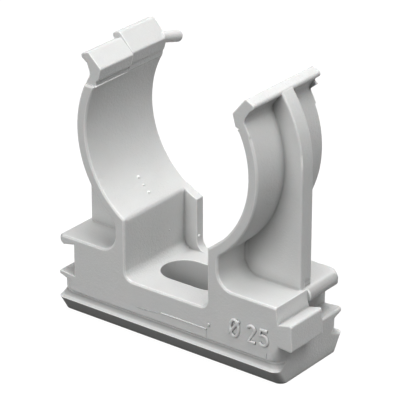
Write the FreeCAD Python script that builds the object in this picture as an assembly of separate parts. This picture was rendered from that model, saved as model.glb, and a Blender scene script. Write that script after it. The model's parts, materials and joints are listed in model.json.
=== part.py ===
import FreeCAD, Part
import math
import os
from FreeCAD import Vector

# A snap-in clip for rigid conduit, moulded in one piece.
# X runs across the clip, Y along the conduit (the front face is at -Y), Z up.
# The origin is the middle of the base's underside. All sizes are in millimetres.

# Conduit seat and arms
bore_radius = 12.5
bore_height = 26.35
clip_depth = 13.5
arm_wall = 1.45
ledge_rise = 6.05
ledge_setback = 0.35
snap_groove = 0.32

# Both heads, measured outwards and upwards from the middle of the bore
nose_face_drop = 1.6
nose_face_flare = 0.45
crest_reach = 12.1
crest_rise = 10.3
neck_angle = 32.3
neck_fillet = 1.1
nose_round = 0.25
crest_round = 0.35
bead_round = 0.4
under_round = 0.15

# Right head
right_nose_reach = 10.25
right_nose_rise = 8.05
right_bead_reach = 13.7
right_bead_rise = 9.6
right_under_reach = 12.7
right_under_rise = 8.8

# Left head, front half
left_nose_reach = 10.12
left_nose_rise = 8.47
left_bead_reach = 13.65
left_bead_rise = 9.8
left_under_reach = 12.3
left_under_rise = 8.85

# Left head, rear half, which stands prouder than the front half
rear_nose_reach = 10.2
rear_nose_rise = 8.65
rear_crest_reach = 12.35
rear_crest_rise = 11.0
rear_bead_reach = 13.75
rear_bead_rise = 10.55
rear_under_reach = 12.45
rear_under_rise = 9.2

# Ribs on the outside of the arms
rib_thickness = 2.3
rib_reach = 16.52
rib_top_reach = 13.35
rib_top_rise = 9.6
rib_top_depth = 0.9

# Base block, shelves and screw platform
base_half_length = 17.4
platform_height = 7.45
shelf_height = 10.75
bay_half_width = 6.5
bay_fillet = 1.2
seat_end_round = 0.45
pocket_reach = 8.05
pocket_top_fillet = 1.1
pocket_floor_fillet = 2.3
fillet_share = 0.7
end_wall_draft = 0.5

# Webs that carry the seat inwards at the rear face
web_reach = 4.48
web_thickness = 1.3
web_fillet = 1.4

# Foot
foot_nose_height = 2.1
foot_proud = 0.43
foot_bottom_inset = 0.88
foot_corner = 1.0
foot_groove_height = 3.0
foot_groove_depth = 0.3
wall_bottom = 3.35
wall_flare = 4.6
wall_lip = 5.2
wall_top = 5.7
wall_top_corner = 0.4
tongue_side_corner = 1.8
groove_side_corner = 2.45

# Screw slot
slot_length = 10.6
slot_width = 6.0

# End couplings: a tongue on one half of each end, a groove in the other half
coupling_split = 0.3
coupling_gap = 0.12
tongue_reach = 1.9
tongue_lean = 0.2
tongue_root_bottom = 5.6
tongue_tip_bottom = 5.42
tongue_root_top = 8.45
right_tongue_tip_top = 9.0
left_tongue_tip_top = 9.4
groove_depth = 2.65
groove_root_bottom = 5.45
groove_lip_bottom = 5.65
groove_lip_round = 0.3
flange_swell = 0.42
right_flange_thickness = 1.95
left_flange_thickness = 1.25
right_flange_turn = 0.6
left_flange_turn = 0.15

# Finger and gusset at the rear of the heads
finger_radius = 0.72
finger_tip_radius = 0.8
finger_tip_round = 0.4
finger_length = 3.35
finger_droop = 0.95
finger_rise = 8.66
gusset_width = 0.35
gusset_top_reach = 12.4
gusset_top_rise = 8.75
gusset_spread = 0.6
gusset_drop = 0.6
gusset_foot_drop = 1.65

# Softening of the outer edges
rim_bevel = 0.2
edge_round = 0.22
tongue_edge_round = 0.3

# Worked out from the sizes above
half_depth = clip_depth / 2
arm_radius = bore_radius + arm_wall
arm_middle = bore_radius + arm_wall / 2
overlap = 0.5
beyond = 1


def at_bore(reach, rise):
    """A point in the front view, measured from the middle of the bore."""
    return Vector(reach, 0, bore_height + rise)


def at_base(reach, height):
    """A point in the front view, measured from the underside of the base."""
    return Vector(reach, 0, height)


def on_circle(radius, angle):
    return at_bore(radius * math.cos(angle), radius * math.sin(angle))


def circle_rise(radius, reach):
    """How far a circle about the bore lies above or below its middle at a given reach."""
    return math.sqrt(radius ** 2 - reach ** 2)


def line(start, end):
    return Part.LineSegment(start, end).toShape()


def arc(start, middle, end):
    return Part.Arc(start, middle, end).toShape()


def corner_arc(start, centre, end):
    """Arc from start to end about a centre, the short way round."""
    middle = ((start + end) * 0.5 - centre).normalize() * (start - centre).Length
    return arc(start, centre + middle, end)


def rounded_outline(corners):
    """A closed wire through (point, radius) corners, each turned with its own radius."""
    edges = []
    starts = []
    ends = []
    count = len(corners)
    for i in range(count):
        before = corners[i - 1][0]
        point, radius = corners[i]
        after = corners[(i + 1) % count][0]
        if radius == 0:
            starts.append(point)
            ends.append(point)
            continue
        back = (before - point).normalize()
        onward = (after - point).normalize()
        half_turn = back.getAngle(onward) / 2
        run = radius / math.tan(half_turn)
        centre = point + (back + onward).normalize() * (radius / math.sin(half_turn))
        start = point + back * run
        end = point + onward * run
        edges.append(corner_arc(start, centre, end))
        starts.append(start)
        ends.append(end)
    for i in range(count):
        start = ends[i]
        end = starts[(i + 1) % count]
        if start.distanceToPoint(end) > 1e-6:
            edges.append(line(start, end))
    return Part.Wire(Part.__sortEdges__(edges))


def slab(wire, front, back):
    """Solid of a front-view outline between two depths."""
    face = Part.Face(wire)
    face.translate(Vector(0, front, 0))
    return face.extrude(Vector(0, back - front, 0))


def block(x0, x1, y0, y1, z0, z1):
    return Part.makeBox(x1 - x0, y1 - y0, z1 - z0, Vector(x0, y0, z0))


def mirrored(shape):
    return shape.mirror(Vector(0, 0, 0), Vector(1, 0, 0))


def turned(shape):
    """The same form at the other end of the clip, half a turn about Z."""
    copy = shape.copy()
    copy.rotate(Vector(0, 0, 0), Vector(0, 0, 1), 180)
    return copy


def side_edges():
    """Right half of the front outline, from the end wall's foot to the platform."""
    wall_foot = at_base(base_half_length, wall_top)
    wall_head = at_base(base_half_length, shelf_height)
    top_centre_reach = pocket_reach + pocket_top_fillet
    top_centre = at_bore(top_centre_reach, -circle_rise(arm_radius + pocket_top_fillet, top_centre_reach))
    pocket_wall_top = Vector(pocket_reach, 0, top_centre.z)
    floor_fillet = min(pocket_floor_fillet, (top_centre.z - shelf_height) * fillet_share)
    floor_end = at_base(pocket_reach + floor_fillet, shelf_height)
    pocket_wall_foot = at_base(pocket_reach, shelf_height + floor_fillet)
    floor_centre = floor_end + Vector(0, 0, floor_fillet)
    bore_middle = at_bore(0, 0)
    arm_foot = bore_middle + (top_centre - bore_middle).normalize() * arm_radius
    arm_side = at_bore(arm_radius, 0)
    ledge_outer = at_bore(circle_rise(arm_radius, ledge_rise), ledge_rise)
    ledge_inner = at_bore(circle_rise(bore_radius, ledge_rise), ledge_rise)
    seat_side = at_bore(bore_radius, 0)
    round_reach = bay_half_width + seat_end_round
    round_centre = at_bore(round_reach, -circle_rise(bore_radius + seat_end_round, round_reach))
    seat_end = bore_middle + (round_centre - bore_middle).normalize() * bore_radius
    bay_wall_top = Vector(bay_half_width, 0, round_centre.z)
    bay_wall_foot = at_base(bay_half_width, platform_height + bay_fillet)
    bay_floor_end = at_base(bay_half_width - bay_fillet, platform_height)
    bay_centre = bay_floor_end + Vector(0, 0, bay_fillet)
    return [
        line(wall_foot, wall_head),
        line(wall_head, floor_end),
        corner_arc(floor_end, floor_centre, pocket_wall_foot),
        line(pocket_wall_foot, pocket_wall_top),
        corner_arc(pocket_wall_top, top_centre, arm_foot),
        arc(arm_foot, arm_side, ledge_outer),
        line(ledge_outer, ledge_inner),
        arc(ledge_inner, seat_side, seat_end),
        corner_arc(seat_end, round_centre, bay_wall_top),
        line(bay_wall_top, bay_wall_foot),
        corner_arc(bay_wall_foot, bay_centre, bay_floor_end),
    ]


def frame_slab():
    """Both arms, both side blocks and the platform as one slab with bevelled rims."""
    right = side_edges()
    left = [mirrored(edge) for edge in right]
    wall_foot = base_half_length
    floor_end = bay_half_width - bay_fillet
    bottom = line(at_base(-wall_foot, wall_top), at_base(wall_foot, wall_top))
    platform = line(at_base(-floor_end, platform_height), at_base(floor_end, platform_height))
    wire = Part.Wire(Part.__sortEdges__(right + left + [bottom, platform]))
    body = slab(wire, -half_depth, half_depth)
    return body.makeChamfer(rim_bevel, [edge for edge in body.Edges if is_rim(edge)])


def is_rim(edge):
    """True for an edge of the front or back outline above the wall's foot."""
    in_face = all(abs(abs(vertex.Y) - half_depth) < 1e-6 for vertex in edge.Vertexes)
    along_depth = abs(edge.Vertexes[0].Y - edge.Vertexes[-1].Y) > 1e-6
    low = any(vertex.Z < wall_top + 1e-6 for vertex in edge.Vertexes)
    return in_face and not along_depth and not low


def head(nose, crest, bead, under, front, back):
    """Snap nose, lead-in slope and outer bead above the right arm, between two depths."""
    face_rise = nose[1] - nose_face_drop
    groove_rise = face_rise - snap_groove / 2
    groove_reach = circle_rise(bore_radius + snap_groove, groove_rise)
    root_rise = ledge_rise - overlap
    outline = rounded_outline([
        (at_bore(circle_rise(arm_middle, root_rise), root_rise), 0),
        (at_bore(circle_rise(bore_radius, ledge_rise) + 0.05, ledge_rise - 0.02), 0),
        (at_bore(groove_reach, groove_rise), 0),
        (at_bore(nose[0] + nose_face_flare, face_rise), 0),
        (at_bore(*nose), nose_round),
        (at_bore(*crest), crest_round),
        (at_bore(*bead), bead_round),
        (at_bore(*under), under_round),
        (on_circle(arm_radius, math.radians(neck_angle)), neck_fillet),
        (on_circle(arm_radius, math.radians(neck_angle - 6)), 0),
    ])
    return slab(outline, front, back)


def arm_top(front):
    """Skin of the right arm from the ledge up to the neck, on the arm's own circle."""
    low = math.asin((ledge_rise - overlap) / arm_radius)
    high = math.radians(neck_angle)
    middle = (low + high) / 2
    outline = Part.Wire([
        arc(on_circle(arm_radius, low), on_circle(arm_radius, middle), on_circle(arm_radius, high)),
        line(on_circle(arm_radius, high), on_circle(arm_middle, high)),
        arc(on_circle(arm_middle, high), on_circle(arm_middle, middle), on_circle(arm_middle, low)),
        line(on_circle(arm_middle, low), on_circle(arm_radius, low)),
    ])
    return slab(outline, front, half_depth)


def right_head():
    nose = (right_nose_reach, right_nose_rise)
    bead = (right_bead_reach, right_bead_rise)
    under = (right_under_reach, right_under_rise)
    crest = (crest_reach, crest_rise)
    return [head(nose, crest, bead, under, -half_depth, half_depth), arm_top(-half_depth)]


def left_head():
    """The left head in two halves; its front face and the arm behind it are set back."""
    front = ledge_setback - half_depth
    nose = (left_nose_reach, left_nose_rise)
    bead = (left_bead_reach, left_bead_rise)
    under = (left_under_reach, left_under_rise)
    crest = (crest_reach, crest_rise)
    rear_nose = (rear_nose_reach, rear_nose_rise)
    rear_crest = (rear_crest_reach, rear_crest_rise)
    rear_bead = (rear_bead_reach, rear_bead_rise)
    rear_under = (rear_under_reach, rear_under_rise)
    halves = [
        head(nose, crest, bead, under, front, 0),
        head(rear_nose, rear_crest, rear_bead, rear_under, 0, half_depth),
        arm_top(front),
    ]
    return [mirrored(half) for half in halves]


def rib_arc():
    """Centre's reach and radius of the rib's upper outline, which starts upright at mid height."""
    rise = rib_reach ** 2 - rib_top_reach ** 2 - rib_top_rise ** 2
    centre = rise / (2 * (rib_reach - rib_top_reach))
    return centre, rib_reach - centre


def rib():
    """Outer rib at mid depth: upright beside the seat's lower half, curved in to the bead above."""
    centre, radius = rib_arc()
    turn = math.asin(rib_top_rise / radius) / 2
    top = at_bore(rib_top_reach, rib_top_rise)
    side = at_bore(centre + radius * math.cos(turn), radius * math.sin(turn))
    inner_top = at_bore(rib_top_reach - rib_top_depth, rib_top_rise)
    foot_out = at_base(rib_reach, shelf_height - overlap)
    foot_in = at_base(pocket_reach - overlap, shelf_height - overlap)
    low = on_circle(arm_middle, -math.acos((pocket_reach - overlap) / arm_middle))
    high = on_circle(arm_middle, math.radians(neck_angle))
    outline = Part.Wire([
        arc(top, side, at_bore(rib_reach, 0)),
        line(at_bore(rib_reach, 0), foot_out),
        line(foot_out, foot_in),
        line(foot_in, low),
        arc(low, at_bore(arm_middle, 0), high),
        line(high, inner_top),
        line(inner_top, top),
    ])
    body = slab(outline, -rib_thickness / 2, rib_thickness / 2)
    return body.makeFillet(edge_round, [edge for edge in body.Edges if is_rib_front(edge)])


def is_rib_front(edge):
    """True for the long edges of the rib's outer face, upright and curved."""
    if abs(edge.Vertexes[0].Y - edge.Vertexes[-1].Y) > 1e-6:
        return False
    middle = edge.valueAt((edge.FirstParameter + edge.LastParameter) / 2)
    if middle.z < bore_height:
        return abs(middle.x - rib_reach) < 1e-3
    centre, radius = rib_arc()
    return abs(math.hypot(middle.x - centre, middle.z - bore_height) - radius) < 1e-3


def rear_web():
    """Thin web that carries the seat inwards from a side block, at the rear face."""
    floor_end = at_base(web_reach - web_fillet, platform_height)
    wall_foot = at_base(web_reach, platform_height + web_fillet)
    centre = floor_end + Vector(0, 0, web_fillet)
    seat_end = at_bore(web_reach, -circle_rise(bore_radius, web_reach))
    root_reach = bay_half_width + overlap
    seat_root = at_bore(root_reach, -circle_rise(bore_radius, root_reach))
    middle_reach = (web_reach + root_reach) / 2
    seat_middle = at_bore(middle_reach, -circle_rise(bore_radius, middle_reach))
    low_outer = at_base(root_reach, platform_height - overlap)
    low_inner = at_base(web_reach - web_fillet, platform_height - overlap)
    outline = Part.Wire([
        line(low_inner, floor_end),
        corner_arc(floor_end, centre, wall_foot),
        line(wall_foot, seat_end),
        arc(seat_end, seat_middle, seat_root),
        line(seat_root, low_outer),
        line(low_outer, low_inner),
    ])
    return slab(outline, half_depth - web_thickness, half_depth)


def plan_outline(half_width, tongue_side, groove_side, height):
    """Rounded rectangle in plan, as long as the base, with a radius for each kind of corner."""
    x = base_half_length
    y = half_width
    return rounded_outline([
        (Vector(x, -y, height), tongue_side),
        (Vector(x, y, height), groove_side),
        (Vector(-x, y, height), tongue_side),
        (Vector(-x, -y, height), groove_side),
    ])


def between(start, end, share):
    return start + (end - start) * share


def ruled_solid(sections):
    """Solid through closed outlines stacked upwards, with straight sides between them."""
    faces = [Part.Face(sections[0]), Part.Face(sections[-1])]
    for lower, upper in zip(sections, sections[1:]):
        for low, high in zip(lower.Edges, upper.Edges):
            faces.append(Part.makeRuledSurface(low, high))
    shell = Part.Shell(faces)
    shell.sewShape()
    return Part.Solid(shell)


def skirt():
    """Foot with a proud nose along both sides, the groove above it and the wall's lower part."""
    nose = half_depth + foot_proud
    sections = [
        plan_outline(half_depth - foot_bottom_inset, foot_corner, foot_corner, 0),
        plan_outline(nose, foot_corner, foot_corner, foot_nose_height),
    ]
    steps = 5
    for i in range(1, steps + 1):
        turn = math.pi / 2 * i / steps
        climb = 1 - math.cos(turn)
        width = nose - (foot_proud + foot_groove_depth) * math.sin(turn)
        tongue_side = between(foot_corner, tongue_side_corner, climb)
        groove_side = between(foot_corner, groove_side_corner, climb)
        height = between(foot_nose_height, foot_groove_height, climb)
        sections.append(plan_outline(width, tongue_side, groove_side, height))
    flare = (wall_flare - wall_bottom) / (wall_lip - wall_bottom)
    tongue_side = between(tongue_side_corner, wall_top_corner, flare)
    sections.append(plan_outline(half_depth, tongue_side_corner, groove_side_corner, wall_bottom))
    sections.append(plan_outline(half_depth, tongue_side, groove_side_corner, wall_flare))
    sections.append(plan_outline(half_depth, wall_top_corner, wall_top_corner, wall_lip))
    sections.append(plan_outline(half_depth, wall_top_corner, wall_top_corner, wall_top))
    return ruled_solid(sections)


def screw_slot():
    """Long hole through the platform for the fixing screw."""
    radius = slot_width / 2
    straight = slot_length / 2 - radius
    height = platform_height + 2 * beyond
    ends = [Part.makeCylinder(radius, height, Vector(x, 0, -beyond)) for x in (-straight, straight)]
    hole = block(-straight, straight, -radius, radius, -beyond, platform_height + beyond)
    return hole.fuse(ends)


def tongue(tip_top, front, back):
    """Tongue at the right end between two depths, with a top that rises outwards."""
    tip = base_half_length + tongue_reach
    root = base_half_length - overlap
    outline = rounded_outline([
        (at_base(root, tongue_root_bottom), 0),
        (at_base(tip + tongue_lean / 2, tongue_tip_bottom), edge_round),
        (at_base(tip - tongue_lean / 2, tip_top), tongue_edge_round),
        (at_base(root, tongue_root_top), 0),
    ])
    return slab(outline, front, back)


def end_relief(front, back):
    """Draft on the right end wall above a tongue, so the shelf stops short of the flange."""
    top = base_half_length - end_wall_draft
    foot_reach = base_half_length - end_wall_draft / 3
    outline = Part.makePolygon([
        at_base(top, shelf_height + beyond),
        at_base(top, shelf_height),
        at_base(foot_reach, tongue_root_top),
        at_base(base_half_length + beyond, tongue_root_top),
        at_base(base_half_length + beyond, shelf_height + beyond),
        at_base(top, shelf_height + beyond),
    ])
    return slab(outline, front, back)


def groove(front, back, flange_thickness):
    """Groove in the right end between two depths, under a flange that swells to a round nose."""
    tip = base_half_length
    root = base_half_length - groove_depth
    flange_bottom = shelf_height - flange_thickness
    nose = flange_thickness / 2
    root_top = at_base(root, flange_bottom + flange_swell)
    nose_low = at_base(tip - nose, flange_bottom)
    nose_high = at_base(tip - nose, shelf_height)
    clear = tip + beyond
    lip = groove_lip_round
    lip_side = at_base(tip, groove_lip_bottom - lip)
    lip_centre = at_base(tip - lip, groove_lip_bottom - lip)
    lip_top = at_base(tip - lip, groove_lip_bottom)
    outline = Part.Wire([
        line(at_base(root, groove_root_bottom), root_top),
        line(root_top, nose_low),
        arc(nose_low, at_base(tip, flange_bottom + nose), nose_high),
        line(nose_high, at_base(tip - nose, shelf_height + beyond)),
        line(at_base(tip - nose, shelf_height + beyond), at_base(clear, shelf_height + beyond)),
        line(at_base(clear, shelf_height + beyond), at_base(clear, groove_lip_bottom - lip)),
        line(at_base(clear, groove_lip_bottom - lip), lip_side),
        corner_arc(lip_side, lip_centre, lip_top),
        line(lip_top, at_base(root, groove_root_bottom)),
    ])
    return slab(outline, front, back)


def flange_corner_cut(thickness, turn):
    """Rounds the right flange's rear corner in plan, and carries its nose across the corner."""
    nose = thickness / 2
    corner = turn + nose
    x = base_half_length - corner
    y = half_depth - corner
    low = shelf_height - thickness - overlap / 2
    high = shelf_height + beyond
    far_x = base_half_length + beyond
    far_y = half_depth + beyond
    post = Part.makeCylinder(corner, high, Vector(x, y, 0))
    nose_low = at_base(turn, shelf_height - thickness)
    nose_tip = at_base(corner, shelf_height - nose)
    nose_high = at_base(turn, shelf_height)
    inside = -2 * corner
    profile = Part.Wire([
        line(at_base(inside, 0), at_base(turn, 0)),
        line(at_base(turn, 0), nose_low),
        arc(nose_low, nose_tip, nose_high),
        line(nose_high, at_base(turn, high)),
        line(at_base(turn, high), at_base(inside, high)),
        line(at_base(inside, high), at_base(inside, 0)),
    ])
    across = slab(profile, -3 * corner, 3 * corner)
    across.rotate(Vector(0, 0, 0), Vector(0, 0, 1), 45)
    across.translate(Vector(x, y, 0))
    return [
        block(x, far_x, y, far_y, low, high).cut(post),
        block(x - corner, far_x, y - corner, far_y, low, high).cut(across),
    ]


def finger():
    """Finger that points rearwards from the nose of the left head."""
    start = Vector(-rear_nose_reach - finger_radius, half_depth - overlap, bore_height + finger_rise)
    direction = Vector(0, finger_length + overlap, -finger_droop)
    stem = Part.makeCone(finger_radius, finger_tip_radius, direction.Length, start, direction)
    end = start + direction
    rim = [edge for edge in stem.Edges if edge.Closed and edge.CenterOfMass.distanceToPoint(end) < overlap]
    return stem.makeFillet(finger_tip_round, rim)


def gusset():
    """Small three-cornered gusset below the bead at the rear of the right head."""
    foot_rise = gusset_top_rise - gusset_foot_drop
    outline = Part.makePolygon([
        at_bore(gusset_top_reach, gusset_top_rise),
        at_bore(gusset_top_reach + gusset_spread, gusset_top_rise - gusset_drop),
        at_bore(circle_rise(arm_middle + arm_wall / 3, foot_rise), foot_rise),
        on_circle(arm_middle, math.radians(neck_angle)),
        at_bore(gusset_top_reach, gusset_top_rise),
    ])
    return slab(outline, half_depth - gusset_width, half_depth)


def couplings():
    """What each end adds and what it takes away, split at one depth across the clip."""
    split = -coupling_split
    front = -half_depth
    back = half_depth
    half_gap = coupling_gap / 2
    add = [
        tongue(right_tongue_tip_top, front, split - half_gap),
        mirrored(tongue(left_tongue_tip_top, split + half_gap, back)),
    ]
    take = [
        groove(split, back + beyond, right_flange_thickness),
        mirrored(groove(front - beyond, split, left_flange_thickness)),
    ]
    take += flange_corner_cut(right_flange_thickness, right_flange_turn)
    take += [turned(cut) for cut in flange_corner_cut(left_flange_thickness, left_flange_turn)]
    relief = [
        end_relief(front - beyond, split),
        mirrored(end_relief(split, back + beyond)),
    ]
    return add, take, relief


def clip_body():
    tongues, grooves, relief = couplings()
    frame = frame_slab().cut(relief)
    right = right_head() + [rib(), rear_web(), gusset()]
    left = left_head() + [mirrored(rib()), mirrored(rear_web()), finger()]
    body = frame.fuse([skirt()] + tongues + right + left)
    return body.cut([screw_slot()] + grooves).removeSplitter()


os.makedirs("parts", exist_ok=True)
clip = clip_body()
print("solids", len(clip.Solids), "valid", clip.isValid(), "volume", round(clip.Volume, 1))
clip.exportStep("parts/clip_body.step")
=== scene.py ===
# %% [markdown]
# # A conduit clip in moulded plastic
# This lesson dresses a small snap-in clip that holds rigid conduit on a wall.
# The clip is one piece of light grey plastic, so its looks come from three things: how soft its
# edges are, how the mould left its skin, and how the light falls into its corners.
# The shape itself is already made as a CAD solid. It is loaded here as a fixed frame, in metres.

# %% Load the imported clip
import bmesh
import bpy
import json
import math
from mathutils import Matrix, Vector


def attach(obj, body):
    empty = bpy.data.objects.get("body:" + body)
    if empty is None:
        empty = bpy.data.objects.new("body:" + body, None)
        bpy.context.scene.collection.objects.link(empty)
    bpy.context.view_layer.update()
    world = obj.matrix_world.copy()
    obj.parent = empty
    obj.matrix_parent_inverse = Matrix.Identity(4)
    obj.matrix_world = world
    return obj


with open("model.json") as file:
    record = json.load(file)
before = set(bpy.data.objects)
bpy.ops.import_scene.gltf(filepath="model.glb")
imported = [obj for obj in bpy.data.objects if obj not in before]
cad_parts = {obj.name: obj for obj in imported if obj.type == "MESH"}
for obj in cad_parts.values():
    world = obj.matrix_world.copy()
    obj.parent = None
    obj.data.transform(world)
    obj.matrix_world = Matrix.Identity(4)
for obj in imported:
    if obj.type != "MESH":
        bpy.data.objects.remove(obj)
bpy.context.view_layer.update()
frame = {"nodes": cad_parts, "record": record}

clip = frame["nodes"]["clip_body"]
print("clip", len(clip.data.polygons), "faces")

# %% [markdown]
# ## Units
# Drawings of moulded parts are in millimetres and Blender counts in metres.
# One value does the change, and it also turns the size of a pattern into the scale that a
# texture node wants: how many times the pattern repeats in one metre.

# %% Millimetres
MM = 0.001


def repeats(size):
    """Scale of a texture whose features are size millimetres across."""
    return 1 / (size * MM)


# %% [markdown]
# ## Colours
# A colour picker shows sRGB hex values, while shaders add and mix light in linear values.
# Typing the hex value into a shader as it stands would make the plastic too pale, so one
# function turns it to linear first.

# %% Hex colours to linear


def linear(hex_colour):
    """RGBA in linear light from a hex colour such as #CFCFCE."""
    channels = [int(hex_colour[i:i + 2], 16) / 255 for i in (1, 3, 5)]
    return [c / 12.92 if c <= 0.04045 else ((c + 0.055) / 1.055) ** 2.4 for c in channels] + [1]


print("light grey is", [round(c, 3) for c in linear("#CFCFCE")])

# %% [markdown]
# ## One helper for nodes
# A material is a small graph. Each node has settings of its own, and inputs that take either a
# number or another node's output. One helper that does all three keeps the graph readable
# from top to bottom. The Mix node has a set of sockets for each kind of value, and all sets
# share their names, so the sockets for colours are called by their numbers.

# %% Add a node
COLOUR_A = 6
COLOUR_B = 7
COLOUR_RESULT = 2


def empty_tree(owner):
    """Node tree of a new material or world, with nothing in it."""
    owner.use_nodes = True
    owner.node_tree.nodes.clear()
    return owner.node_tree


def add_node(tree, kind, settings=None, inputs=None):
    """New node; an input that is given a socket is linked, and any other value is set."""
    node = tree.nodes.new(kind)
    for name, value in (settings or {}).items():
        setattr(node, name, value)
    for name, value in (inputs or {}).items():
        if isinstance(value, bpy.types.NodeSocket):
            tree.links.new(value, node.inputs[name])
        else:
            node.inputs[name].default_value = value
    return node


print("node helpers ready")

# %% [markdown]
# ## Injection-moulded ABS: an empty material
# Clips like this are injection-moulded from ABS or a similar tough plastic, coloured through.
# The eye reads it as plastic by its soft satin gloss, by bright thin lines where edges catch
# the light, and by a skin that is almost, but not quite, even.
# The graph starts with places on the part, so that no pattern needs a UV map. Their absolute
# values are the same for left and right, which finds a place on both halves at once.

# %% Start the plastic
abs_plastic = bpy.data.materials.new("injection_moulded_abs")
abs_tree = empty_tree(abs_plastic)
place = add_node(abs_tree, "ShaderNodeTexCoord").outputs["Object"]
position = add_node(abs_tree, "ShaderNodeSeparateXYZ", inputs={"Vector": place}).outputs
away = add_node(abs_tree, "ShaderNodeVectorMath", {"operation": "ABSOLUTE"}, {0: place})
distance = add_node(abs_tree, "ShaderNodeSeparateXYZ", inputs={
    "Vector": away.outputs["Vector"]}).outputs
print("material", abs_plastic.name)

# %% [markdown]
# ## Looks that belong to one place
# Some of the looks below belong to one place only, such as the inside of the slot.
# A place could be painted by hand, but then it would stay behind if the part changed.
# Here it is fenced in by limits in millimetres: each limit multiplies the mask by 1 or by 0.

# %% Limits


def only_where(mask, limits):
    """The mask where all limits hold, and 0 elsewhere; a limit is (measure, test, millimetres)."""
    for measure, test, size in limits:
        holds = add_node(abs_tree, "ShaderNodeMath", {"operation": test}, {
            0: measure, 1: size * MM})
        kept = add_node(abs_tree, "ShaderNodeMath", {"operation": "MULTIPLY"}, {
            0: mask, 1: holds.outputs["Value"]})
        mask = kept.outputs["Value"]
    return mask


print("limits ready")

# %% [markdown]
# ## Flow clouds
# Melted plastic cools as it fills the mould, and leaves clouds a few millimetres wide that are
# a touch lighter or darker. A noise texture mixes two greys that are close together.
# A stronger contrast would look like stone, so the two greys are about ten steps of 255 apart.

# %% Colour of the skin
cloud_size = 5
flow = add_node(abs_tree, "ShaderNodeTexNoise", inputs={
    "Vector": place, "Scale": repeats(cloud_size), "Detail": 3, "Roughness": 0.55})
skin = add_node(abs_tree, "ShaderNodeMix", {"data_type": "RGBA"}, {
    "Factor": flow.outputs["Fac"], COLOUR_A: linear("#C8C9C8"), COLOUR_B: linear("#D3D3D2")})
print("flow clouds every", cloud_size, "mm")

# %% [markdown]
# ## How soft the edges are
# No moulded edge is sharp. Most of this clip's turn over about 0.3 mm. Where the seat turns
# down into the screw bay, the real turn is much softer.
# The Bevel node gives the normal that such a rounded edge would have, without a change to the
# mesh. Its radius is an input, so one node serves both kinds of edge. It casts a few rays from
# each point, and eight are enough for a smooth mask at this picture's size.

# %% Soft edges
edge_round = 0.32
seat_turn_round = 1.1
mask_rays = 8
seat_turn = [
    (distance["X"], "GREATER_THAN", 6.3), (distance["X"], "LESS_THAN", 8.5),
    (distance["Y"], "LESS_THAN", 6.1), (position["Z"], "GREATER_THAN", 12.6)]
edge_radius = add_node(abs_tree, "ShaderNodeMapRange", inputs={
    "Value": only_where(1, seat_turn),
    "To Min": edge_round * MM, "To Max": seat_turn_round * MM})
soft_edge = add_node(abs_tree, "ShaderNodeBevel", {"samples": mask_rays}, {
    "Radius": edge_radius.outputs["Result"]})
soft_normal = soft_edge.outputs["Normal"]
print("edges softened over", edge_round, "mm, the seat's turn over", seat_turn_round, "mm")

# %% [markdown]
# ## Painted edge highlights
# The outer edges catch the light and look paler than the faces; that highlight is painted by mixing
# a paler grey into the colour.
# Where the soft normal differs from the true one there is an edge: their dot product falls
# below 1 there, and that makes the mask. An edge could also be picked out by the Geometry
# node's pointiness, but that depends on how fine the mesh is.

# %% Edge mask
true_normal = add_node(abs_tree, "ShaderNodeNewGeometry").outputs["True Normal"]
agreement = add_node(abs_tree, "ShaderNodeVectorMath", {"operation": "DOT_PRODUCT"}, {
    0: soft_normal, 1: true_normal})
edge_mask = add_node(abs_tree, "ShaderNodeMapRange", inputs={
    "Value": agreement.outputs["Value"],
    "From Min": 0.995, "From Max": 0.88, "To Min": 0, "To Max": 1})
# Painted highlight: along the edges a paler grey is mixed into the colour.
edge_highlighted = add_node(abs_tree, "ShaderNodeMix", {"data_type": "RGBA"}, {
    "Factor": edge_mask.outputs["Result"],
    COLOUR_A: skin.outputs[COLOUR_RESULT], COLOUR_B: linear("#F2F2F1")})
print("edges burnished where the normals part")

# %% [markdown]
# ## Painted shade in the corners
# The Ambient Occlusion node measures how closed-in a point is, and its dark end mixes in a darker
# grey, a painted shade where corners get less light.
# The real shadow does the rest, so the mask only starts where a good part of the sky is hidden.
# A second measure with a short reach paints the thin dark line of shade in the very corner.

# %% Corners
shade_reach = 3.2
line_reach = 0.9
closed_in = add_node(abs_tree, "ShaderNodeAmbientOcclusion", {"samples": mask_rays}, {
    "Distance": shade_reach * MM})
# Painted shade: closed-in corners get a darker grey mixed into the colour.
corner_shade_mask = add_node(abs_tree, "ShaderNodeMapRange", inputs={
    "Value": closed_in.outputs["AO"],
    "From Min": 0.2, "From Max": 0.75, "To Min": 0.8, "To Max": 0})
corner_shaded = add_node(abs_tree, "ShaderNodeMix", {"data_type": "RGBA"}, {
    "Factor": corner_shade_mask.outputs["Result"],
    COLOUR_A: edge_highlighted.outputs[COLOUR_RESULT], COLOUR_B: linear("#868685")})
corner = add_node(abs_tree, "ShaderNodeAmbientOcclusion", {"samples": mask_rays}, {
    "Distance": line_reach * MM})
# Painted shade: a thin dark line right in the corner.
corner_line_shade_mask = add_node(abs_tree, "ShaderNodeMapRange", inputs={
    "Value": corner.outputs["AO"],
    "From Min": 0.36, "From Max": 0.64, "To Min": 0.9, "To Max": 0})
corner_line_shaded = add_node(abs_tree, "ShaderNodeMix", {"data_type": "RGBA"}, {
    "Factor": corner_line_shade_mask.outputs["Result"],
    COLOUR_A: corner_shaded.outputs[COLOUR_RESULT], COLOUR_B: linear("#5C5C5B")})
print("dust within", shade_reach, "mm of a corner, and densest within", line_reach, "mm")
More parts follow.
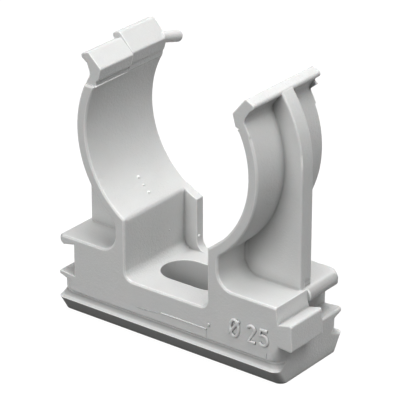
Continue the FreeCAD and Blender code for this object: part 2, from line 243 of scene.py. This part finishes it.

# %% [markdown]
# ## Painted shade under the foot
# The faces of the foot that look down stay in shade, and that shade is painted as a darker grey.
# A face looks down when its normal has a negative Z, and a limit on the height keeps the mask
# on the foot. The cell on gloss uses the same mask once more, to make these faces rougher.

# %% Painted shade under the foot
underside_top = 2.2
facing = add_node(abs_tree, "ShaderNodeSeparateXYZ", inputs={"Vector": true_normal}).outputs
looks_down = add_node(abs_tree, "ShaderNodeMapRange", inputs={
    "Value": facing["Z"], "From Min": -0.1, "From Max": -0.5, "To Min": 0, "To Max": 0.85})
underside_shade_mask = only_where(looks_down.outputs["Result"], [(position["Z"], "LESS_THAN", underside_top)])
# Painted shade: the foot's faces that look down get a darker grey.
underside_shaded = add_node(abs_tree, "ShaderNodeMix", {"data_type": "RGBA"}, {
    "Factor": underside_shade_mask, COLOUR_A: corner_line_shaded.outputs[COLOUR_RESULT], COLOUR_B: linear("#646463")})
print("film below", underside_top, "mm")

# %% [markdown]
# ## Painted shade in the foot's groove
# A hollow runs along the foot above its nose, and its shade is painted: darkest near its top and
# lighter towards the nose, whose tip is left bright. A colour ramp over the height draws that
# change.
# It counts only where the surface faces front or back, so the flat ends of the clip are left as
# they are.

# %% Groove
groove_bottom = 2.1
groove_top = 3.4
groove_shade = [(2.243, 0), (2.399, 0.35), (2.62, 0.4), (2.789, 0.68), (2.906, 0.45), (2.997, 0)]
# Painted shade: the hollow above the foot's nose is darkened by height.
in_groove = add_node(abs_tree, "ShaderNodeMapRange", inputs={
    "Value": position["Z"], "From Min": groove_bottom * MM, "From Max": groove_top * MM})
groove_ramp = add_node(abs_tree, "ShaderNodeValToRGB", inputs={"Fac": in_groove.outputs["Result"]})
stops = groove_ramp.color_ramp.elements
stops[1].color = (0, 0, 0, 1)
for level, darkness in groove_shade:
    stop = stops.new((level - groove_bottom) / (groove_top - groove_bottom))
    stop.color = (darkness, darkness, darkness, 1)
sideways = add_node(abs_tree, "ShaderNodeMath", {"operation": "ABSOLUTE"}, {0: facing["Y"]})
groove_side = add_node(abs_tree, "ShaderNodeMapRange", inputs={
    "Value": sideways.outputs["Value"], "From Min": 0.15, "From Max": 0.35})
groove_shade_mask = add_node(abs_tree, "ShaderNodeMath", {"operation": "MULTIPLY"}, {
    0: groove_ramp.outputs["Color"], 1: groove_side.outputs["Result"]})
# Painted shade: this darker grey is mixed in for the groove, the slot and the flange noses.
painted_shade_grey = linear("#787877")
groove_shaded = add_node(abs_tree, "ShaderNodeMix", {"data_type": "RGBA"}, {
    "Factor": groove_shade_mask.outputs["Value"],
    COLOUR_A: underside_shaded.outputs[COLOUR_RESULT], COLOUR_B: painted_shade_grey})
print("groove dust between", groove_shade[0][0], "and", groove_shade[-1][0], "mm up")

# %% [markdown]
# ## Painted shade in the slot and on the flanges
# The slot's walls get a painted shade that darkens further down. The ends' flanges get a painted
# shade on their noses, where they face the ends, so these are a little greyer.
# Both places are found by their distance from the middle. A flange takes up half of each end,
# the rear half on the right and the front half on the left, where X times Y is positive.

# %% Slot and flange noses
slot_rim = 7.4
slot_low = 4.4
inside_slot = [
    (distance["X"], "LESS_THAN", 5.5), (distance["Y"], "LESS_THAN", 3.2),
    (position["Z"], "LESS_THAN", 7.35)]
# Painted shade: the slot's walls darken towards the bottom.
deep = add_node(abs_tree, "ShaderNodeMapRange", inputs={
    "Value": position["Z"],
    "From Min": slot_rim * MM, "From Max": slot_low * MM, "To Min": 0.12, "To Max": 0.5})
slot_mask = only_where(deep.outputs["Result"], inside_slot)
endways = add_node(abs_tree, "ShaderNodeMath", {"operation": "ABSOLUTE"}, {0: facing["X"]})
# Painted shade: the flange noses, where they face the ends, get a darker grey.
nose_turn = add_node(abs_tree, "ShaderNodeMapRange", inputs={
    "Value": endways.outputs["Value"],
    "From Min": 0.25, "From Max": 0.6, "To Min": 0, "To Max": 0.45})
crossed = add_node(abs_tree, "ShaderNodeMath", {"operation": "MULTIPLY"}, {
    0: position["X"], 1: position["Y"]})
on_flange = [
    (crossed.outputs["Value"], "GREATER_THAN", 0), (distance["X"], "GREATER_THAN", 16),
    (position["Z"], "GREATER_THAN", 8.8), (position["Z"], "LESS_THAN", 11)]
nose_mask = only_where(nose_turn.outputs["Result"], on_flange)
slot_and_nose_shade_mask = add_node(abs_tree, "ShaderNodeMath", {"operation": "ADD"}, {
    0: slot_mask, 1: nose_mask})
slot_and_nose_shaded = add_node(abs_tree, "ShaderNodeMix", {"data_type": "RGBA"}, {
    "Factor": slot_and_nose_shade_mask.outputs["Value"],
    COLOUR_A: groove_shaded.outputs[COLOUR_RESULT], COLOUR_B: painted_shade_grey})
print("grime deepens from", slot_rim, "down to", slot_low, "mm")

# %% [markdown]
# ## The mould's texture
# The mould is spark-eroded, which leaves a matte grain about 0.05 mm wide and a few microns
# deep. That is finer than a pixel of this picture, so it is drawn wider and deeper than it is,
# as coarse as it needs to be to show at all. A second, longer wave stands for sink where walls
# are thick. Both are bumps: they turn the highlight without changing the outline.

# %% Grain and sink
grain_size = 0.3
grain_depth = 0.07
sink_size = 2.4
sink_depth = 0.05
grain = add_node(abs_tree, "ShaderNodeTexNoise", inputs={
    "Vector": place, "Scale": repeats(grain_size), "Detail": 3, "Roughness": 0.7})
sink = add_node(abs_tree, "ShaderNodeTexNoise", inputs={
    "Vector": place, "Scale": repeats(sink_size), "Detail": 1})
sink_bump = add_node(abs_tree, "ShaderNodeBump", inputs={
    "Height": sink.outputs["Fac"], "Strength": 0.35, "Distance": sink_depth * MM,
    "Normal": soft_normal})
grain_bump = add_node(abs_tree, "ShaderNodeBump", inputs={
    "Height": grain.outputs["Fac"], "Strength": 0.9, "Distance": grain_depth * MM,
    "Normal": sink_bump.outputs["Normal"]})
print("grain", grain_size, "mm, sink", sink_size, "mm")

# %% [markdown]
# ## Satin gloss
# ABS has an index of refraction near 1.53. Its skin is satin: roughness between 0.42 and 0.54,
# as the flow left it, 0.36 on the edges, and just above 0.8 on the foot's faces that look down.
# A trace of subsurface light takes the hardness out of the shadow edges, as in real plastic.

# %% Put the shader together
abs_ior = 1.53
sheen_spread = add_node(abs_tree, "ShaderNodeMapRange", inputs={
    "Value": flow.outputs["Fac"],
    "From Min": 0.3, "From Max": 0.7, "To Min": 0.42, "To Max": 0.54})
roughness = add_node(abs_tree, "ShaderNodeMapRange", inputs={
    "Value": edge_mask.outputs["Result"],
    "To Min": sheen_spread.outputs["Result"], "To Max": 0.36})
dull_underside = add_node(abs_tree, "ShaderNodeMapRange", inputs={
    "Value": underside_shade_mask, "To Min": roughness.outputs["Result"], "To Max": 0.9})
surface = add_node(abs_tree, "ShaderNodeBsdfPrincipled", inputs={
    "Base Color": slot_and_nose_shaded.outputs[COLOUR_RESULT], "Roughness": dull_underside.outputs["Result"],
    "Normal": grain_bump.outputs["Normal"], "IOR": abs_ior,
    "Subsurface Weight": 0.06, "Subsurface Scale": 0.5 * MM})
add_node(abs_tree, "ShaderNodeOutputMaterial", inputs={"Surface": surface.outputs["BSDF"]})
for material_slot in clip.material_slots:
    material_slot.material = abs_plastic
print("nodes in the plastic:", len(abs_tree.nodes))

# %% [markdown]
# ## Pieces that ride on the clip
# The mould leaves raised marks and small traces on the clip. They could be cut into its mesh,
# but they are small pieces of their own here, so that the CAD shape stays as it is.
# Each is smooth, rides on the clip's body and takes the material it is given.

# %% Add a piece


def put(name, data):
    """New object in the scene, for a mesh, a curve, a lamp or a camera."""
    thing = bpy.data.objects.new(name, data)
    bpy.context.scene.collection.objects.link(thing)
    return thing


def add_piece(name, mesh, material):
    """New smooth piece, parented to the root empty."""
    for polygon in mesh.polygons:
        polygon.use_smooth = True
    piece = put(name, mesh)
    piece.data.materials.append(material)
    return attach(piece, "root")


print("piece helpers ready")

# %% [markdown]
# ## Round strokes
# The marks and the flash are thin and round, so each starts as a curve with a round section,
# which becomes a mesh. A text object would bring a font's corners with it, and a displaced
# surface would need a very fine mesh.

# %% Strokes to a mesh


def round_strokes(name, runs, width, rounding, rings=0):
    """Mesh of round strokes through points of (x, y, z, share of the width), in millimetres.

    The first runs are closed to rings, as many as rings says.
    """
    curve = bpy.data.curves.new(name, "CURVE")
    curve.dimensions = "3D"
    curve.bevel_depth = width / 2 * MM
    curve.bevel_resolution = rounding
    curve.use_fill_caps = True
    for number, run in enumerate(runs):
        spline = curve.splines.new("POLY")
        spline.points.add(len(run) - 1)
        for point, (x, y, z, share) in zip(spline.points, run):
            point.co = (x * MM, y * MM, z * MM, 1)
            point.radius = share
        spline.use_cyclic_u = number < rings
    drawn = put(name + "_curve", curve)
    bpy.context.view_layer.update()
    graph = bpy.context.evaluated_depsgraph_get()
    mesh = bpy.data.meshes.new_from_object(drawn.evaluated_get(graph))
    bpy.data.objects.remove(drawn)
    return mesh


print("stroke helper ready")

# %% [markdown]
# ## Raised marks
# The mould is engraved, so its marks stand up from the part as thin rounded strokes.
# Each stroke is drawn on the front face and pressed flat until only a low crown stands proud.
# The arms end on that face, so it is found from the frame: it is as far forward as anything
# above the seat's axis.

# %% A helper for raised strokes
seat = next(mount for mount in frame["record"]["mounts"] if mount["name"] == "conduit_seat")
seat_height = seat["pos_m"][2] / MM
arm_points = [vertex.co for vertex in clip.data.vertices if vertex.co.z > seat_height * MM]
front_face = min(point.y for point in arm_points)


def raised(name, strokes, width, proud, rings=0):
    """Piece of low rounded strokes on the front face, through (x, z) points in millimetres."""
    runs = [[(x, 0, z, 1) for x, z in stroke] for stroke in strokes]
    mesh = round_strokes(name, runs, width, rounding=3, rings=rings)
    press = proud / (width / 2)
    for vertex in mesh.vertices:
        vertex.co.y = front_face + vertex.co.y * press
    return add_piece(name, mesh, abs_plastic)


print("front face at y", round(front_face / MM, 3), "mm")

# %% [markdown]
# ## The size mark
# The clip carries the diameter of its conduit, a plain number with the sign for diameter.
# It is how the whole part was scaled. The figures are 2.6 mm tall and drawn with a tool
# 0.46 mm wide, and stand 0.26 mm proud, so each stroke has a bright top and a dark lower side.
# Straight strokes need only their ends, and the round ones follow part of an ellipse.

# %% Diameter sign, two and five


def bow(centre, across, up, start, end, steps=14):
    """Points along part of an ellipse, with its angles in degrees."""
    turns = [math.radians(start + (end - start) * i / steps) for i in range(steps + 1)]
    return [(centre[0] + across * math.cos(t), centre[1] + up * math.sin(t)) for t in turns]


sign_ring = bow((10.78, 6.18), 0.62, 1.12, 0, 345, 30)
sign_bar = [(10.0, 5.35), (11.52, 7.35)]
two = bow((13.33, 6.78), 0.52, 0.46, 165, -35) + [(12.88, 5.12), (13.98, 5.12)]
five = [(15.74, 7.22), (14.78, 7.22), (14.62, 6.36)] + bow((15.14, 5.84), 0.64, 0.7, 128, -150)
size_mark = raised("size_mark", [sign_ring, sign_bar, two, five], width=0.46, proud=0.26, rings=1)
print("size mark", len(size_mark.data.polygons), "faces")

# %% [markdown]
# ## Lines of the mould's insert
# The mould's side that makes the front face has an insert, so that sizes can be changed.
# Where it meets the rest, plastic creeps into the joint and leaves a hair-thin ridge.
# It fades in from the left, ends in a small nick, and turns down towards the foot. One more
# short ridge runs down near the right end.

# %% Witness ridges
ridges = [
    raised("insert_line", [[(-0.7, 4.58), (2.2, 4.6), (6.45, 4.62)]], width=0.24, proud=0.08),
    raised("insert_nick", [[(6.76, 5.15), (6.84, 5.6)]], width=0.42, proud=0.22),
    raised("end_line", [
        [(6.42, 4.45), (6.42, 3.5)],
        [(-4.6, 4.24), (-2.6, 4.3), (-1.0, 4.5)],
        [(15.58, 4.15), (15.58, 3.5)],
    ], width=0.14, proud=0.025),
]
print("insert ridges", [len(ridge.data.polygons) for ridge in ridges], "faces")

# %% [markdown]
# ## Vent pips
# The mould's core has tiny vents, and each leaves a pip: three on the left arm's seat at mid
# depth, about 5 degrees apart, one on the bay's wall, one at that wall's foot, which the fillet
# there covers, and one on the web's end.
# A small ball pushed half into the wall is enough, because only its cap shows.
# The pips get a paler material, a painted highlight that makes them show as bright specks.

# %% Pips
# Painted highlight: this pale material makes the pips and the flash read as bright specks and
# lines.
pale_highlight = bpy.data.materials.new("abs_painted_highlight")
pale_highlight_tree = empty_tree(pale_highlight)
pale = add_node(pale_highlight_tree, "ShaderNodeBsdfPrincipled", inputs={
    "Base Color": linear("#EFEFEE"), "Roughness": 0.5, "IOR": abs_ior})
add_node(pale_highlight_tree, "ShaderNodeOutputMaterial", inputs={"Surface": pale.outputs["BSDF"]})
seat_radius = seat["dims"]["r_mm"]


def on_seat(degrees, y):
    """Point on the seat's cylinder, in millimetres."""
    turn = math.radians(degrees)
    return seat_radius * math.cos(turn), y, seat_height + seat_radius * math.sin(turn)


pip_sizes = [
    (on_seat(-140.3, 0), 0.22), (on_seat(-134.8, 0), 0.16), (on_seat(-129.5, 0), 0.2),
    ((-6.5, 2.33, 10.96), 0.12), ((-6.87, 2.48, 7.45), 0.14), ((-4.48, 5.85, 9.45), 0.2),
]
pips = bmesh.new()
for centre, radius in pip_sizes:
    at_centre = Matrix.Translation(Vector(centre) * MM)
    bmesh.ops.create_icosphere(pips, subdivisions=2, radius=radius * MM, matrix=at_centre)
pip_mesh = bpy.data.meshes.new("vent_pips")
pips.to_mesh(pip_mesh)
pips.free()
vent_pips = add_piece("vent_pips", pip_mesh, pale_highlight)
print("vent pips", len(pip_sizes), "with", len(vent_pips.data.polygons), "faces")

# %% [markdown]
# ## Flash below the snap head
# Below the left snap head the core's joint leaves a thin line of flash that fades to the rear.
# It could be a sharp fin, but what is left of real flash after trimming is a low round bead.
# So it is one more round stroke along the seat, thinner from point to point, in the same pale
# material, a painted highlight along the line.

# %% Flash
flash_angle = 151.2
flash_runs = [(-6.6, 1), (-5, 0.9), (-3, 0.8), (-1.2, 0.5), (0.2, 0.05)]
flash_points = [(*on_seat(flash_angle, y), share) for y, share in flash_runs]
flash_mesh = round_strokes("flash_line", [flash_points], width=0.26, rounding=2)
# Painted highlight: the flash takes the same pale material.
flash_line = add_piece("flash_line", flash_mesh, pale_highlight)
print("flash", len(flash_line.data.polygons), "faces")

# %% [markdown]
# ## Who sees white
# The photograph is cut out on white, and yet the clip's undersides are dark in it. So the floor
# and the room are white where they are looked at, and dull in the light that they send to the
# clip. Mirrors and glass show what is looked at, so their rays see the white as well.

# %% Rays that see white


def seen_rays(tree):
    """1 for rays from the camera, from a mirror or through glass, and 0 for all others."""
    ray = add_node(tree, "ShaderNodeLightPath").outputs
    seen = ray["Is Camera Ray"]
    for kind in ("Is Glossy Ray", "Is Transmission Ray"):
        either = add_node(tree, "ShaderNodeMath", {"operation": "MAXIMUM"}, {0: seen, 1: ray[kind]})
        seen = either.outputs["Value"]
    return seen


print("ray helper ready")

# %% [markdown]
# ## Matt coated paper
# The clip stands on matt white paper, whose fibres make faint clouds under its coating.
# A floor that is only white would lose the shadow that makes the clip stand on something.
# For the camera this one is mostly its own light, with a little of the lamps' light added, so
# the shadow stays as a soft tint. For all other rays it is a dull grey.

# %% Paper
paper = bpy.data.materials.new("matt_coated_paper")
paper_tree = empty_tree(paper)
paper_place = add_node(paper_tree, "ShaderNodeTexCoord").outputs["Object"]
fibre_size = 3
fibre = add_node(paper_tree, "ShaderNodeTexNoise", inputs={
    "Vector": paper_place, "Scale": repeats(fibre_size)})
pulp = add_node(paper_tree, "ShaderNodeMix", {"data_type": "RGBA"}, {
    "Factor": fibre.outputs["Fac"], COLOUR_A: linear("#585858"), COLOUR_B: linear("#5C5C5C")})
lit = add_node(paper_tree, "ShaderNodeBsdfDiffuse", inputs={"Color": pulp.outputs[COLOUR_RESULT]})
glow = add_node(paper_tree, "ShaderNodeEmission", inputs={
    "Color": linear("#FFFFFF"), "Strength": 0.95})
white_paper = add_node(paper_tree, "ShaderNodeAddShader", inputs={
    0: lit.outputs["BSDF"], 1: glow.outputs["Emission"]})
floor_look = add_node(paper_tree, "ShaderNodeMixShader", inputs={
    0: seen_rays(paper_tree), 1: lit.outputs["BSDF"], 2: white_paper.outputs["Shader"]})
add_node(paper_tree, "ShaderNodeOutputMaterial", inputs={"Surface": floor_look.outputs["Shader"]})
print("material", paper.name, "with fibres of", fibre_size, "mm")

# %% [markdown]
# ## Floor
# One large square at the height of the foot is enough, because the paper has no edge in the
# photograph.

# %% Pale floor
reach = 1.5
corners = [(-reach, -reach, 0), (reach, -reach, 0), (reach, reach, 0), (-reach, reach, 0)]
floor_mesh = bpy.data.meshes.new("floor")
floor_mesh.from_pydata(corners, [], [(0, 1, 2, 3)])
floor_mesh.materials.append(paper)
floor = put("floor", floor_mesh)
print("floor", 2 * reach, "m across")

# %% [markdown]
# ## Room light
# The sky of the studio is white to the camera, in mirrors and through glass. What it sends to
# the surfaces is much weaker, so that the lamps can shape the clip.

# %% World
world = bpy.data.worlds.new("studio")
bpy.context.scene.world = world
sky_tree = empty_tree(world)
room = add_node(sky_tree, "ShaderNodeBackground", inputs={
    "Color": linear("#FFFFFF"), "Strength": 0.06})
white = add_node(sky_tree, "ShaderNodeBackground", inputs={
    "Color": linear("#FFFFFF"), "Strength": 1})
sky = add_node(sky_tree, "ShaderNodeMixShader", inputs={
    0: seen_rays(sky_tree), 1: room.outputs["Background"], 2: white.outputs["Background"]})
add_node(sky_tree, "ShaderNodeOutputWorld", inputs={"Surface": sky.outputs["Shader"]})
print("room light", round(room.inputs["Strength"].default_value, 3))

# %% [markdown]
# ## Lamps
# Five soft boxes are enough for a part this small. One hangs overhead and gives the bright
# tops, one stands in front and opens the front faces, and one lights the right-hand sides from
# high up. A weak one behind the right corner separates the far edges, and another weak one low
# at the back keeps the rear readable when the clip is seen from there.
# An area lamp aims along its own -Z, so each is turned by the direction to the clip.

# %% Soft boxes
clip_middle = Vector((0, 0, 20 * MM))


def soft_box(name, stand, size, watts):
    """Square area lamp that looks at the middle of the clip, with its sizes in millimetres."""
    lamp = bpy.data.lights.new(name, "AREA")
    lamp.size = size * MM
    lamp.energy = watts
    holder = put(name, lamp)
    holder.location = Vector(stand) * MM
    aim = clip_middle - holder.location
    holder.rotation_euler = aim.to_track_quat("-Z", "Y").to_euler()
    return holder


boxes = [
    soft_box("overhead_box", (0, 0, 520), size=300, watts=1.45),
    soft_box("front_box", (0, -410, 307), size=300, watts=1.52),
    soft_box("right_box", (265, 0, 444), size=300, watts=1.33),
    soft_box("rear_box", (177, 177, 453), size=300, watts=0.25),
    soft_box("back_box", (-120, 450, 90), size=200, watts=0.35),
]
print("lamps", [round(box.data.energy, 2) for box in boxes], "W")

# %% [markdown]
# ## Camera
# The photograph was matched with a camera 37.6 degrees round and 24.7 degrees up.
# Lines on the clip hardly converge, so the lens is very long and the camera stands 0.33 m away.

# %% Camera as in the photograph
camera_round = 37.595
camera_up = 24.744
camera_data = bpy.data.cameras.new("camera")
camera_data.sensor_width = 36
camera_data.lens = 232.66
camera = put("camera", camera_data)
camera.location = (0.1782, -0.23114, 0.15236)
camera.rotation_euler = (math.radians(90 - camera_up), 0, math.radians(camera_round))
bpy.context.scene.camera = camera
print("lens", round(camera_data.lens, 2), "mm,", round(camera.location.length, 2), "m away")

# %% [markdown]
# ## Finish
# Standard view transform keeps the greys as they were written.

# %% Finish
bpy.context.scene.view_settings.view_transform = "Standard"
